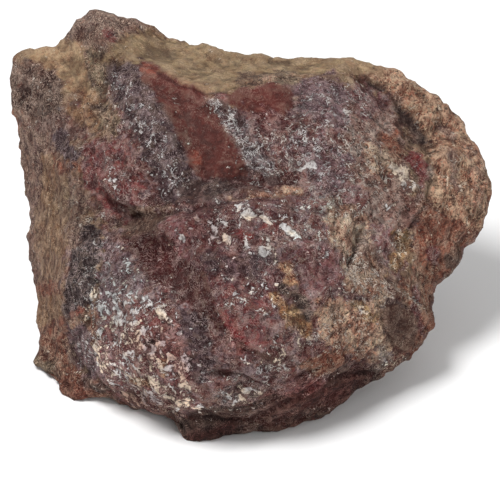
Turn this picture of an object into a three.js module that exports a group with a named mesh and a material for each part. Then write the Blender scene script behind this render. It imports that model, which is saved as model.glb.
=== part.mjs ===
// Rough jasper: one broken, unworked lump, as it comes out of the ground.
//
// Millimetres, +Z up. The stone rests on a flat broken face, and the origin is at that
// face's level, under the middle of the stone's box. +X runs along its length. Its show
// face looks towards -Y and leans back, and a shelf of weathered rind lies on top of it.
//
// The stone is one solid. Its form hangs on landmarks, which are corners, ridges and
// hollows joined by flat fracture facets. The facets are then worn, roughened and
// cracked, and the rest face is levelled.
import * as THREE from 'three';
import { ConvexHull } from 'three/addons/math/ConvexHull.js';
import { ImprovedNoise } from 'three/addons/math/ImprovedNoise.js';
import { mergeVertices } from 'three/addons/utils/BufferGeometryUtils.js';

// ---------------------------------------------------------------- driving dimensions

const SHOW_FACE_LEAN = THREE.MathUtils.degToRad(35); // how far the show face leans back
const REST_LEVEL = -33.5; // height of the rest face, from the middle of the show side
const HEART = new THREE.Vector3(-6, 14, -8); // inner point that sees every landmark
const ROUGH_HALF_SIZE = new THREE.Vector3(60, 47, 37); // evens out the mesh's triangles
const MESH_DETAIL = 19; // splits of an icosahedron's edge: 8,000 triangles in all
const WEAR_ROUNDS = 1; // how often the facets' edges are worn
const WEAR = 0.5; // share of the way to its neighbours that a point moves each round
const REBOUND = 0.53; // share that it moves back out, so that the stone keeps its size

// ---------------------------------------------------------------- landmarks

// Landmarks on the show side: [across, up the leaning face, proud of its middle].

const OUTLINE = [
  // left shoulder, saddle and horn
  [-63, 42, -24],
  [-62, 51, -22],
  [-59, 53, -24],
  [-52, 52, -20],
  [-48, 56, -20],
  [-45, 60, -17],
  [-37, 63, -15],
  [-30, 60, -17],
  [-21, 56, -17],
  [-15, 54, -15],
  // back edge of the shelf
  [-10, 53, -13],
  [3, 51, -13],
  [11, 50, -13],
  [19, 49, -14],
  [31, 49, -15],
  [38, 48, -15],
  // round right end
  [43, 46, -16],
  [49, 41, -16],
  [53, 37, -16],
  [59, 26, -15],
  [62, 18, -14],
  [61, 11, -12],
  [59, 5, -10],
  [55, 0, -8],
  [49, -8, -3],
  [45, -12, -2],
  [47, -19, -2],
  [43, -26, -2],
  // undercut on the lower right
  [35, -32, -3],
  [26, -37, 0],
  [21, -41, 3],
  [11, -45, 6],
  // keel, and the notch beside it
  [0, -47, 8],
  [-10, -48, 9],
  [-18, -48, 8],
  [-23, -42, 2],
  [-31, -39, -2],
  // left foot
  [-47, -39, -6],
  [-53, -32, -12],
  [-57, -29, -16],
  // left side
  [-54, -25, -17],
  [-55, -12, -24],
  [-58, 3, -26],
  [-58, 15, -27],
  [-60, 24, -26],
  [-62, 33, -25],
];

const SHELF = [
  // front edge
  [-33, 48, -4],
  [-26, 47, 1],
  [-19, 43, 5],
  [-11, 40, 8],
  [-3, 41, 6],
  [5, 43, 3],
  [14, 44, -1],
  [23, 45, -6],
  // trough behind the edge
  [-26, 49, -8],
  [-18, 46, -5],
  [-10, 43, -2],
  [-2, 45, -5],
  [6, 46, -8],
  [15, 46, -11],
  // rise towards the back
  [-18, 50, -13],
  [-10, 47, -10],
  [2, 48, -12],
];

const HORN_AND_SHOULDER = [
  [-36, 57, -8],
  [-36, 51, -7],
  [-41, 53, -11],
  [-30, 55, -11],
  [-28, 51, -11],
  // saddle
  [-45, 47, -14],
  [-51, 49, -18],
  [-41, 41, -8],
  [-37, 38, -5],
  // knob
  [-56, 44, -17],
  [-52, 39, -11],
  [-57, 34, -18],
  [-47, 35, -8],
  [-50, 29, -11],
];

const LEFT_SIDE = [
  [-51, 20, -12],
  [-51, 7, -12],
  [-51, -5, -10],
  [-50, -17, -9],
  // edge towards the show face
  [-44, 23, -1],
  [-43, 16, 2],
  [-44, 8, 5],
  [-45, 0, 6],
  [-47, -10, 6],
  [-46, -19, 3],
  [-44, -25, 0],
  // foot
  [-47, -28, -6],
  [-45, -34, -4],
  [-37, -35, 2],
];

const UPPER_FACE = [
  // lobe on the left, and the hollow under it
  [-42, 30, -4],
  [-35, 27, 6],
  [-34, 20, 11],
  [-38, 14, 9],
  [-37, 9, 4],
  [-31, 7, 8],
  // slanting spur, and the dip on its left
  [-30, 43, 3],
  [-26, 36, 10],
  [-22, 29, 14],
  [-18, 21, 16],
  [-35, 37, -1],
  [-30, 30, 6],
  // smooth red band
  [-20, 39, 4],
  [-15, 33, 7],
  [-10, 25, 9],
  // vein
  [-7, 36, 9],
  [-2, 28, 12],
  [3, 22, 14],
  // right part
  [4, 38, 6],
  [9, 30, 11],
  [17, 37, 4],
  [21, 28, 11],
  [30, 37, -1],
  [12, 23, 14],
  // trough along the foot of the face
  [-25, 9, 12],
  [-17, 14, 12],
  [-10, 17, 11],
  [-2, 17, 12],
  [6, 17, 14],
  [14, 18, 15],
];

const BULGE = [
  // top edge
  [-31, 3, 14],
  [-24, 6, 19],
  [-16, 10, 21],
  [-6, 12, 23],
  [4, 14, 22],
  [14, 14, 20],
  // central belly
  [-14, 4, 25],
  [-9, -1, 29],
  [1, 1, 29],
  [12, 1, 26],
  [22, 5, 20],
  [-6, -12, 33],
  [5, -12, 31],
  [16, -10, 27],
  [27, -7, 19],
  [-5, -24, 32],
  [6, -25, 30],
  [17, -22, 25],
  [26, -20, 18],
  // valley between the belly and the left lump
  [-24, 0, 18],
  [-20, -6, 22],
  [-14, -14, 27],
  [-11, -24, 29],
  // left lump
  [-37, -1, 12],
  [-33, -8, 19],
  [-41, -9, 12],
  [-28, -16, 25],
  [-20, -22, 28],
  [-29, -25, 23],
  [-40, -22, 11],
  // lower edge
  [-38, -30, 9],
  [-26, -33, 19],
  [-16, -33, 25],
  [-3, -32, 28],
  [10, -32, 25],
  [22, -29, 18],
  [-3, -39, 22],
  [8, -38, 19],
  [-15, -42, 17],
  [0, -43, 15],
  // undercut
  [-9, -46, 11],
  [12, -41, 10],
  [23, -36, 5],
];

const RIGHT_END = [
  // crevice
  [34, 39, -10],
  [39, 32, -8],
  [44, 27, -6],
  // rounded end
  [45, 36, -8],
  [51, 26, -4],
  [56, 14, -5],
  [47, 13, 2],
  [48, 3, 1],
  [41, 22, 1],
  [32, 25, 5],
  [27, 15, 13],
  [37, 10, 8],
  // yellow hollow, and the ridge and chip under it
  [33, 1, 11],
  [41, -2, 5],
  [35, -9, 14],
  [43, -14, 4],
  [38, -19, 9],
  [32, -26, 8],
];

// Landmarks on the hidden sides: [x, y, z] from the middle of the show side.

const BACK = [
  // upper wall, with a hollow right of the horn
  [-47, 49, 26],
  [-31, 52, 27],
  [-17, 46, 25],
  [-5, 42, 26],
  [9, 47, 23],
  [25, 45, 20],
  [40, 36, 19],
  [-58, 40, 5],
  [-51, 47, 11],
  [-37, 52, 12],
  [-21, 44, 11],
  [-6, 42, 10],
  [9, 50, 7],
  [21, 50, 3],
  [35, 42, 6],
  [47, 36, 4],
  [55, 27, 0],
  // ledge, broken through under the hollow
  [-53, 34, -10],
  [-43, 51, -2],
  [-27, 52, -5],
  [-12, 46, -5],
  [3, 52, -9],
  [17, 54, -11],
  [30, 45, -9],
  [42, 39, -11],
  // slope under the ledge
  [-52, 22, -18],
  [-38, 43, -17],
  [-22, 44, -20],
  [-6, 40, -21],
  [14, 45, -23],
  [34, 33, -22],
  [46, 24, -16],
  [47, 12, -15],
];

const UNDERSIDE = [
  [36, 15, -27],
  [36, -2, -26],
  [-36, -5, -36],
  [-40, 15, -35],
  [-15, -22, -37],
  [0, -20, -37],
  [15, -12, -36],
  [-10, 5, -38],
  [15, 8, -37],
  [-22, 30, -36],
  [5, 30, -36],
  [24, 20, -35],
];

// ---------------------------------------------------------------- surface

// Ridged swells that cover the whole stone.
const SWELLS = [
  { length: 17, height: 0.8 },
  { length: 7, height: 0.4 },
];
const MEAN_SWELL = 0.6; // mean level of a swell, as a share of its height

// Cracks and seams on the show side, along [across, up] points.
const UNDER_LEFT_LOBE = {
  path: [
    [-40, 16],
    [-37, 12.5],
    [-34, 10],
    [-30, 8],
  ],
  width: 5,
  depth: 2,
};
const RIGHT_CREVICE = {
  path: [
    [31, 42],
    [33, 40],
    [38, 34],
    [44, 28],
  ],
  width: 6,
  depth: 2.5,
};
const SEAM_OVER_THE_LIP = {
  path: [
    [-10, -31],
    [-3, -32],
    [3, -34],
  ],
  width: 5,
  depth: 1.5,
};
const LIP = {
  path: [
    [-16, -42],
    [-9, -42],
    [0, -43],
    [5, -42],
  ],
  width: 5,
  depth: 1.5,
};
const SLANTING_CRACK = {
  path: [
    [29, 5],
    [26, -3],
  ],
  width: 5,
  depth: 1.2,
};
const EDGE_OF_LEFT_LUMP = {
  path: [
    [-41, -18],
    [-45, -22],
    [-43, -30],
  ],
  width: 5,
  depth: 1.2,
};
const SEAMS = [
  UNDER_LEFT_LOBE,
  RIGHT_CREVICE,
  SEAM_OVER_THE_LIP,
  LIP,
  SLANTING_CRACK,
  EDGE_OF_LEFT_LUMP,
];

// Round chips knocked out of the show side, centred on [across, up].
const CHIPS = [
  { centre: [38, -1], width: 12, depth: 1.5 },
  { centre: [38, -22], width: 9, depth: 1.2 },
  { centre: [12, -15], width: 9, depth: 1 },
  { centre: [-20, -3], width: 14, depth: 1 },
  { centre: [-3, -37], width: 10, depth: 0.8 },
];

// ---------------------------------------------------------------- form

// The show side's own axes: across, up along the leaning face, and out of it.
const ACROSS = new THREE.Vector3(1, 0, 0);
const UP_FACE = new THREE.Vector3(0, Math.sin(SHOW_FACE_LEAN), Math.cos(SHOW_FACE_LEAN));
const OUT_OF_FACE = new THREE.Vector3(0, -UP_FACE.z, UP_FACE.y);

function onShowSide([across, up, proud]) {
  return new THREE.Vector3()
    .addScaledVector(ACROSS, across)
    .addScaledVector(UP_FACE, up)
    .addScaledVector(OUT_OF_FACE, proud);
}

function landmarks() {
  const show = [
    ...OUTLINE,
    ...SHELF,
    ...HORN_AND_SHOULDER,
    ...LEFT_SIDE,
    ...UPPER_FACE,
    ...BULGE,
    ...RIGHT_END,
  ];
  const hidden = [...BACK, ...UNDERSIDE];
  return [...show.map(onShowSide), ...hidden.map((p) => new THREE.Vector3(...p))];
}

// Flat facets between neighbouring landmarks. Which landmarks are neighbours follows from
// the convex hull of the directions in which the heart sees them.
function fractureFacets(points) {
  const arms = points.map((p) => p.clone().sub(HEART));
  const directions = arms.map((arm) => arm.clone().normalize());
  const armOf = new Map(directions.map((direction, i) => [direction, arms[i]]));
  const hull = new ConvexHull().setFromPoints(directions);
  return hull.faces.map((face) => {
    const corners = [face.edge.prev, face.edge, face.edge.next].map((e) => e.head().point);
    const [a, b, c] = corners.map((corner) => armOf.get(corner));
    const normal = new THREE.Vector3().crossVectors(b.clone().sub(a), c.clone().sub(a));
    const sides = [
      new THREE.Vector3().crossVectors(a, b),
      new THREE.Vector3().crossVectors(b, c),
      new THREE.Vector3().crossVectors(c, a),
    ];
    sides.forEach((side) => side.normalize());
    return { normal, reach: normal.dot(a), sides };
  });
}

// A ray from the heart leaves through the facet whose three side planes it is most inside.
function reachAlong(direction, facets) {
  let best = null;
  let mostInside = -Infinity;
  for (const facet of facets) {
    const inside = Math.min(...facet.sides.map((side) => side.dot(direction)));
    if (inside > mostInside) {
      mostInside = inside;
      best = facet;
    }
  }
  return best.reach / best.normal.dot(direction);
}

function facetedStone() {
  const ball = new THREE.IcosahedronGeometry(1, MESH_DETAIL);
  ball.deleteAttribute('normal');
  ball.deleteAttribute('uv');
  const stone = mergeVertices(ball, 1e-4);
  const facets = fractureFacets(landmarks());
  const position = stone.getAttribute('position');
  const point = new THREE.Vector3();
  for (let i = 0; i < position.count; i += 1) {
    point.fromBufferAttribute(position, i).multiply(ROUGH_HALF_SIZE).normalize();
    point.multiplyScalar(reachAlong(point, facets)).add(HEART);
    position.setXYZ(i, point.x, point.y, point.z);
  }
  return stone;
}

// ---------------------------------------------------------------- wear

function neighboursOf(stone) {
  const corner = stone.index.array;
  const count = stone.getAttribute('position').count;
  const neighbours = Array.from({ length: count }, () => new Set());
  for (let i = 0; i < corner.length; i += 3) {
    for (let k = 0; k < 3; k += 1) {
      neighbours[corner[i + k]].add(corner[i + ((k + 1) % 3)]);
      neighbours[corner[i + k]].add(corner[i + ((k + 2) % 3)]);
    }
  }
  return neighbours;
}

function moveToNeighbours(position, neighbours, share) {
  const before = position.clone();
  const mean = new THREE.Vector3();
  const point = new THREE.Vector3();
  neighbours.forEach((around, i) => {
    mean.set(0, 0, 0);
    for (const j of around) mean.add(point.fromBufferAttribute(before, j));
    mean.divideScalar(around.size);
    point.fromBufferAttribute(before, i).lerp(mean, share);
    position.setXYZ(i, point.x, point.y, point.z);
  });
}

function wear(stone) {
  const neighbours = neighboursOf(stone);
  const position = stone.getAttribute('position');
  for (let round = 0; round < WEAR_ROUNDS; round += 1) {
    moveToNeighbours(position, neighbours, WEAR);
    moveToNeighbours(position, neighbours, -REBOUND);
  }
}

// ---------------------------------------------------------------- relief

const waves = new ImprovedNoise();

function swellAt(point) {
  let height = 0;
  for (const swell of SWELLS) {
    const p = point.clone().divideScalar(swell.length);
    const ridged = 1 - 2 * Math.abs(waves.noise(p.x, p.y, p.z));
    height += swell.height * (ridged - MEAN_SWELL);
  }
  return height;
}

function distanceToPath(here, path) {
  const nearest = new THREE.Vector3();
  let least = Infinity;
  for (let k = 1; k < path.length; k += 1) {
    const from = new THREE.Vector3(...path[k - 1], 0);
    const to = new THREE.Vector3(...path[k], 0);
    new THREE.Line3(from, to).closestPointToPoint(here, true, nearest);
    least = Math.min(least, nearest.distanceTo(here));
  }
  return least;
}

// Depth of the seams and chips under a point of the show side, none on the other sides.
function brokenOutAt(point, outward) {
  if (outward.dot(OUT_OF_FACE) <= 0) return 0;
  const here = new THREE.Vector3(point.dot(ACROSS), point.dot(UP_FACE), 0);
  let depth = 0;
  for (const seam of SEAMS) {
    const off = (2 * distanceToPath(here, seam.path)) / seam.width;
    depth += seam.depth * Math.max(0, 1 - off);
  }
  for (const chip of CHIPS) {
    const off = (2 * here.distanceTo(new THREE.Vector3(...chip.centre, 0))) / chip.width;
    depth += chip.depth * Math.max(0, 1 - off * off);
  }
  return depth;
}

function relieve(stone, heightAt) {
  stone.computeVertexNormals();
  const position = stone.getAttribute('position');
  const normal = stone.getAttribute('normal');
  const point = new THREE.Vector3();
  const outward = new THREE.Vector3();
  for (let i = 0; i < position.count; i += 1) {
    point.fromBufferAttribute(position, i);
    outward.fromBufferAttribute(normal, i);
    point.addScaledVector(outward, heightAt(point, outward));
    position.setXYZ(i, point.x, point.y, point.z);
  }
}

// ---------------------------------------------------------------- assembly

function levelRestFace(stone) {
  const position = stone.getAttribute('position');
  for (let i = 0; i < position.count; i += 1) {
    position.setZ(i, Math.max(position.getZ(i), REST_LEVEL));
  }
}

function standOnOrigin(stone) {
  stone.computeBoundingBox();
  const middle = stone.boundingBox.getCenter(new THREE.Vector3());
  stone.translate(-middle.x, -middle.y, -stone.boundingBox.min.z);
}

function jasperStone() {
  const stone = facetedStone();
  wear(stone);
  relieve(stone, swellAt);
  relieve(stone, (point, outward) => -brokenOutAt(point, outward));
  levelRestFace(stone);
  standOnOrigin(stone);
  stone.computeVertexNormals();
  const jasper = new THREE.MeshStandardMaterial({
    color: 0x705a53,
    roughness: 0.8,
    metalness: 0,
  });
  const mesh = new THREE.Mesh(stone, jasper);
  mesh.name = 'jasper_stone';
  return mesh;
}

const root = new THREE.Group();
root.add(jasperStone());

export default root;
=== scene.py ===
"""Rough jasper: the finished look of one broken, unworked stone.

The stone's solid gives the form. This script adds the fine relief that fracture and
weather leave, and then a procedural material: zones of red, maroon, mauve and tan on
the mesh, with flecks, mottling and grain in the shader. Lengths are in metres, and
places on the show side are in pixels, unless a comment says otherwise.
"""
import math

import bpy
import numpy as np
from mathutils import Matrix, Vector


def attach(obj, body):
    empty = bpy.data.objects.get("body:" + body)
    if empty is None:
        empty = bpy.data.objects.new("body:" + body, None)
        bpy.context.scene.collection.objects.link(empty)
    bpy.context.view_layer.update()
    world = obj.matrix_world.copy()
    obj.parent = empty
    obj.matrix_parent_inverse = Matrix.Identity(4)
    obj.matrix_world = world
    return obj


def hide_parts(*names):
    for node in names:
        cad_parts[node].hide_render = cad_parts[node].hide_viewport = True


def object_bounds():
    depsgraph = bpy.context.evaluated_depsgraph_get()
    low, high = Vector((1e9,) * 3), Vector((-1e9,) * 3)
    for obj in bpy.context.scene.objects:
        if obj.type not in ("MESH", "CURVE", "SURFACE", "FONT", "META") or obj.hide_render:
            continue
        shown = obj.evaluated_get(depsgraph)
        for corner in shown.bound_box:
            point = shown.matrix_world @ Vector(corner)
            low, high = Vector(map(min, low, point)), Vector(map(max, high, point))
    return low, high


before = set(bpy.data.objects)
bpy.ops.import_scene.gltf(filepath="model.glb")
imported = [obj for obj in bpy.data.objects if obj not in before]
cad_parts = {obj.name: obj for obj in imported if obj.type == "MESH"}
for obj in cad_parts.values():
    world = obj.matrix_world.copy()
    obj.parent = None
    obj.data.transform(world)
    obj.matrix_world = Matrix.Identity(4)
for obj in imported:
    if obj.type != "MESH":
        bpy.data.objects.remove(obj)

MM = 0.001
cad_low, cad_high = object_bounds()

# ---------------------------------------------------------------- the show side

# The stone's show face leans back. A point of it is named by its place on the picture
# plane of a camera that looks straight at that face: across and down, in pixels.
SHOW_LEAN = math.radians(35)
SHOW_MIDDLE = np.array((0.23, -6.64, 33.5)) * MM  # the stone's point at the plane's middle
ACROSS = np.array((1.0, 0.0, 0.0))
UP = np.array((0.0, math.sin(SHOW_LEAN), math.cos(SHOW_LEAN)))
TOWARDS = np.array((0.0, -math.cos(SHOW_LEAN), math.sin(SHOW_LEAN)))
PIXEL = 0.25 * MM
MIDDLE_PIXEL = 250.0
FIELD = 2 * MIDDLE_PIXEL * PIXEL
LENS = 300.0  # mm
SENSOR = 36.0  # mm
VIEW_DISTANCE = FIELD * LENS / SENSOR
CLIP_END = 20.0


def show_pixels(points):
    """Across and down in pixels for each point, with the camera's perspective."""
    offset = points - SHOW_MIDDLE
    scale = VIEW_DISTANCE / (VIEW_DISTANCE - offset @ TOWARDS) / PIXEL
    across = MIDDLE_PIXEL + offset @ ACROSS * scale
    down = MIDDLE_PIXEL - offset @ UP * scale
    return np.stack((across, down), axis=1)


def make_camera():
    camera = bpy.data.objects.new("camera", bpy.data.cameras.new("camera"))
    camera.data.lens = LENS
    camera.data.sensor_width = SENSOR
    camera.data.clip_end = CLIP_END
    camera.location = SHOW_MIDDLE + TOWARDS * VIEW_DISTANCE
    camera.rotation_euler = Vector(-TOWARDS).to_track_quat("-Z", "Y").to_euler()
    bpy.context.scene.collection.objects.link(camera)
    bpy.context.scene.camera = camera


make_camera()

# ---------------------------------------------------------------- noise

CELL_KEYS = (73856093, 19349663, 83492791)  # large odd numbers that tell the lattice cells apart
SEED_KEY = 2654435761
SCATTERERS = ((15, 2246822519), (13, 3266489917))  # shifts and factors that mix the bits
LAST_SHIFT = 16
ALL_BITS = 0xFFFFFFFF
HALF_RANGE = 0x7FFFFFFF
WAVE_GAIN = 1.6  # brings the peaks of the noise to about 1
CHIP_SCATTER = 0.4  # how far a chip's middle strays from its cell's, in cells
CHIP_TILT = 0.35


def hashed(cell, seed, count):
    """Count random numbers from -1 to 1 for each whole-numbered lattice cell."""
    key = cell[:, 0] * CELL_KEYS[0] ^ cell[:, 1] * CELL_KEYS[1] ^ cell[:, 2] * CELL_KEYS[2]
    key = (key ^ seed * SEED_KEY) & ALL_BITS
    numbers = []
    for _ in range(count):
        for shift, factor in SCATTERERS:
            key = (key ^ (key >> shift)) * factor & ALL_BITS
        key = key ^ (key >> LAST_SHIFT)
        numbers.append(key / HALF_RANGE - 1)
    return np.stack(numbers, axis=1)


def waves(points, length, seed):
    """Smooth gradient noise of one wavelength, about -1 to 1."""
    scaled = points / length
    cell = np.floor(scaled).astype(np.int64)
    inside = scaled - cell
    ease = inside**3 * (inside * (inside * 6 - 15) + 10)
    total = np.zeros(len(points))
    for corner in np.ndindex(2, 2, 2):
        slope = hashed(cell + corner, seed, 3)
        height = ((inside - corner) * slope).sum(axis=1)
        weight = np.where(corner, ease, 1 - ease).prod(axis=1)
        total += height * weight
    return total * WAVE_GAIN


def rough(points, length, octaves, seed):
    """Noise of several wavelengths, each half as long and half as high as the last."""
    total = np.zeros(len(points))
    reach = 0.0
    for octave in range(octaves):
        total += waves(points, length / 2**octave, seed + octave) / 2**octave
        reach += 1 / 2**octave
    return total / reach


def chipped(points, size, seed):
    """Shallow tilted bowls of about one size that meet in crisp ridges, from 0 to about 1."""
    scaled = points / size
    cell = np.floor(scaled).astype(np.int64)
    floor_level = np.full(len(points), np.inf)
    for step in np.ndindex(3, 3, 3):
        here = cell + np.array(step) - 1
        drawn = hashed(here, seed, 6)
        middle, tilt = drawn[:, :3], drawn[:, 3:]
        offset = scaled - (here + 0.5 + CHIP_SCATTER * middle)
        bowl = (offset**2).sum(axis=1) + CHIP_TILT * (offset * tilt).sum(axis=1)
        floor_level = np.minimum(floor_level, bowl)
    return floor_level


def smoothstep(low, high, value):
    t = np.clip((value - low) / (high - low), 0, 1)
    return t * t * (3 - 2 * t)


# ---------------------------------------------------------------- mesh

SUBDIVISIONS = 2
WELD_DISTANCE = 0.01 * MM


def subdivided_stone():
    """The solid's mesh with its vertices joined, subdivided and smoothed."""
    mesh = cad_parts["jasper_stone"].data.copy()
    stone = bpy.data.objects.new("stone", mesh)
    bpy.context.scene.collection.objects.link(stone)
    weld = stone.modifiers.new("weld", "WELD")
    weld.merge_threshold = WELD_DISTANCE
    smooth = stone.modifiers.new("subdivide", "SUBSURF")
    smooth.levels = SUBDIVISIONS
    smooth.render_levels = SUBDIVISIONS
    graph = bpy.context.evaluated_depsgraph_get()
    fine = bpy.data.meshes.new_from_object(stone.evaluated_get(graph))
    stone.modifiers.clear()
    stone.data = fine
    stone.data.materials.clear()
    return stone


def read(mesh, what):
    """Three numbers for each vertex: its place or its normal."""
    values = np.empty(len(mesh.vertices) * 3)
    mesh.vertices.foreach_get(what, values)
    return values.reshape(-1, 3)


stone = subdivided_stone()

# ---------------------------------------------------------------- places on the stone

TINY = 1e-9
# How far lines stray from where they are drawn: pixels, and the longest wavelength.
WANDERED = (6.0, 6 * MM)
TORN = (3.0, 4 * MM)
NEARLY = (1.5, 3 * MM)
STRAY_SEEDS = (21, 31)
OCTAVES = 3
FRAY = 2.6  # how deeply a zone's edge fingers into the next, in shares of its softness
FRAY_LENGTH = 2.6 * MM
FRAY_SEED = 71
TURN = 0.12  # its marks fade between faces turned to the show side and away by this cosine
SOFT_SHARE = 0.35  # width of a torn edge's fingers, in shares of its softness
LEAST_SOFT = 1.2  # the narrowest that such an edge gets, in pixels
MARK_SOFT = 0.25  # softness of a mark's edge, in shares of its width
LEDGE_EDGE = 1.2  # half the width in pixels of a ledge's riser
LEDGE_END = 5.0  # reaches from its foot at which a ledge's drop stops


def path_distance(pixels, path):
    """Distance in pixels from each place to a path of straight stretches, and its side.

    The side is 1 where the place lies right of the path's course, and -1 left of it.
    """
    least = np.full(len(pixels), np.inf)
    side = np.zeros(len(pixels))
    if len(path) == 1:
        path = path * 2
    for start, end in zip(path[:-1], path[1:]):
        start = np.array(start, dtype=float)
        along = np.array(end, dtype=float) - start
        share = np.clip(((pixels - start) @ along) / max(along @ along, TINY), 0, 1)
        away = pixels - start - share[:, None] * along
        distance = np.hypot(away[:, 0], away[:, 1])
        turn = along[0] * away[:, 1] - along[1] * away[:, 0]
        side = np.where(distance < least, np.sign(turn), side)
        least = np.minimum(least, distance)
    return least, side


def enclosed(pixels, outline):
    """True for the places inside a closed outline."""
    crossings = np.zeros(len(pixels), dtype=int)
    for (x0, y0), (x1, y1) in zip(outline, outline[1:] + outline[:1]):
        spans = (pixels[:, 1] < y0) != (pixels[:, 1] < y1)
        crossing = x0 + (pixels[:, 1] - y0) * (x1 - x0) / (y1 - y0 or 1)
        crossings += spans & (pixels[:, 0] < crossing)
    return crossings % 2 == 1


class Surface:
    """The subdivided stone's points, and where each lies on the show side."""

    def __init__(self, mesh):
        self.points = read(mesh, "co")
        self.normals = read(mesh, "normal")
        self.pixels = show_pixels(self.points)
        self.shown = smoothstep(-TURN, TURN, self.normals @ TOWARDS)
        self.wandered = self.strayed(*WANDERED)
        self.torn = self.strayed(*TORN)
        self.nearly = self.strayed(*NEARLY)
        self.fray = FRAY * rough(self.points, FRAY_LENGTH, OCTAVES, FRAY_SEED)

    def strayed(self, amount, length):
        """The places, moved about by noise, so that lines drawn by them look natural."""
        noise = [rough(self.points, length, OCTAVES, seed) for seed in STRAY_SEEDS]
        return self.pixels + amount * np.stack(noise, axis=1)

    def near(self, path, width, edge=0.5):
        """1 along a path of the show side, falling to 0 past half its width."""
        away = path_distance(self.wandered, path)[0] / (width / 2)
        return self.shown * (1 - smoothstep(1 - edge, 1 + edge, away))

    def around(self, path, width):
        """1 along a path, on the show side and just behind it, falling to 0 at its width."""
        return 1 - smoothstep(0, width, path_distance(self.pixels, path)[0])

    def within(self, outline, soft):
        """1 inside a closed outline of the show side, 0 outside, over a soft, torn edge."""
        away = path_distance(self.torn, outline + outline[:1])[0]
        return self.frayed(np.where(enclosed(self.torn, outline), away, -away), soft)

    def mark(self, path, width):
        """1 along a path of the show side, 0 away from it, over a soft, torn edge."""
        inside = width / 2 - path_distance(self.wandered, path)[0]
        return self.frayed(inside, MARK_SOFT * width)

    def frayed(self, inside, soft):
        """1 well inside an edge and 0 well outside it; in between the two finger together."""
        width = max(SOFT_SHARE * soft, LEAST_SOFT)
        return self.shown * smoothstep(-width, width, inside + soft * self.fray)

    def groove(self, path, width):
        """1 in the bed of a crack along a path, falling evenly to 0 at half its width."""
        away = path_distance(self.nearly, path)[0] / (width / 2)
        return self.shown * np.clip(1 - away, 0, 1)

    def ledge(self, path, reach):
        """1 at the foot of a ledge, on the right of its path, fading out over its reach."""
        away, side = path_distance(self.nearly, path)
        signed = away * side
        rise = smoothstep(-LEDGE_EDGE, LEDGE_EDGE, signed)
        fading = np.exp(-np.maximum(signed, 0) / reach) * (away < LEDGE_END * reach)
        return self.shown * rise * fading


surface = Surface(stone.data)

# ---------------------------------------------------------------- relief

# Ledges, each with its foot on the right of its path: drop in mm, reach, path.
LEDGES = [
    (0.9, 6, [(124, 216), (115, 212), (104, 202), (95, 190), (84, 186)]),
    (1.5, 12, [(120, 217), (140, 213), (167, 208), (200, 202), (228, 195), (242, 191), (300, 188)]),
    (1.0, 7, [(118, 57), (152, 63), (175, 80), (207, 92), (240, 83), (300, 72), (330, 70)]),
    (1.1, 8, [(185, 427), (150, 408), (104, 391), (86, 377), (72, 360), (67, 346), (84, 322)]),
    (0.9, 8, [(318, 372), (290, 386), (258, 385), (240, 377), (213, 376)]),
    (1.3, 8, [(375, 377), (340, 380), (323, 384), (312, 392), (270, 415), (250, 424), (188, 421)]),
    (1.0, 6, [(428, 142), (414, 124), (397, 106), (386, 92), (370, 84)]),
    (0.9, 9, [(405, 235), (424, 205), (430, 178), (424, 150), (412, 138)]),
    (1.3, 9, [(366, 232), (359, 247), (353, 264)]),
    (1.1, 8, [(430, 312), (400, 290), (375, 265)]),
    (1.1, 9, [(381, 302), (388, 330), (400, 350), (412, 354), (420, 336)]),
    (0.8, 8, [(65, 318), (62, 290), (68, 250), (75, 215), (78, 182)]),
]
# Swells, and hollows where the height is negative: height in mm, width, path.
SWELLS = [
    (0.3, 20, [(12, 62), (12, 70)]),
    (1.2, 22, [(9, 84), (13, 106)]),
    (1.8, 14, [(15, 54), (24, 48)]),
    (0.8, 14, [(34, 47), (46, 47)]),
    (1.3, 14, [(80, 18), (92, 11)]),
    (-0.4, 14, [(120, 15), (124, 16)]),
    (-0.8, 16, [(142, 20), (166, 34)]),
    (-0.3, 10, [(174, 38), (176, 38)]),
    (0.8, 14, [(216, 48), (234, 51)]),
    (0.6, 14, [(240, 52), (258, 52)]),
    (-1.5, 12, [(273, 57), (288, 58)]),
    (0.4, 14, [(316, 57), (328, 56)]),
    (0.6, 14, [(352, 58), (366, 60)]),
    (-0.8, 12, [(388, 66), (392, 67)]),
    (-0.6, 14, [(400, 71), (424, 87)]),
    (0.4, 36, [(440, 98), (466, 130), (488, 170), (490, 206)]),
    (-0.5, 12, [(484, 162), (488, 172)]),
    (-0.5, 16, [(482, 222), (480, 230)]),
    (-1.1, 14, [(466, 244), (467, 246)]),
    (-0.7, 12, [(462, 254), (462, 257)]),
    (-0.7, 12, [(446, 277), (438, 286)]),
    (-2.4, 16, [(442, 294), (442, 300)]),
    (-1.1, 10, [(432, 310), (432, 316)]),
    (-0.5, 10, [(416, 349), (416, 351)]),
    (0.4, 14, [(404, 362), (392, 369)]),
    (-0.9, 14, [(360, 387), (372, 381)]),
    (-0.7, 12, [(302, 423), (312, 420)]),
    (-0.8, 14, [(226, 436), (262, 433)]),
    (0.4, 10, [(196, 441), (206, 441)]),
    (-2.6, 16, [(166, 422), (175, 430)]),
    (-0.4, 12, [(94, 398), (108, 398)]),
    (1.1, 12, [(64, 395), (76, 400)]),
    (-0.9, 9, [(50, 376), (56, 382)]),
    (-0.7, 12, [(37, 351), (37, 353)]),
    (0.6, 12, [(36, 322), (36, 326)]),
    (-0.5, 12, [(36, 301), (36, 312)]),
    (0.3, 12, [(27, 244), (27, 256)]),
    (-0.9, 14, [(27, 208), (27, 222)]),
    (-0.3, 14, [(23, 183), (24, 196)]),
    (-0.8, 20, [(17, 140), (22, 164)]),
    (-0.6, 14, [(15, 121), (15, 123)]),
]
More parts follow.
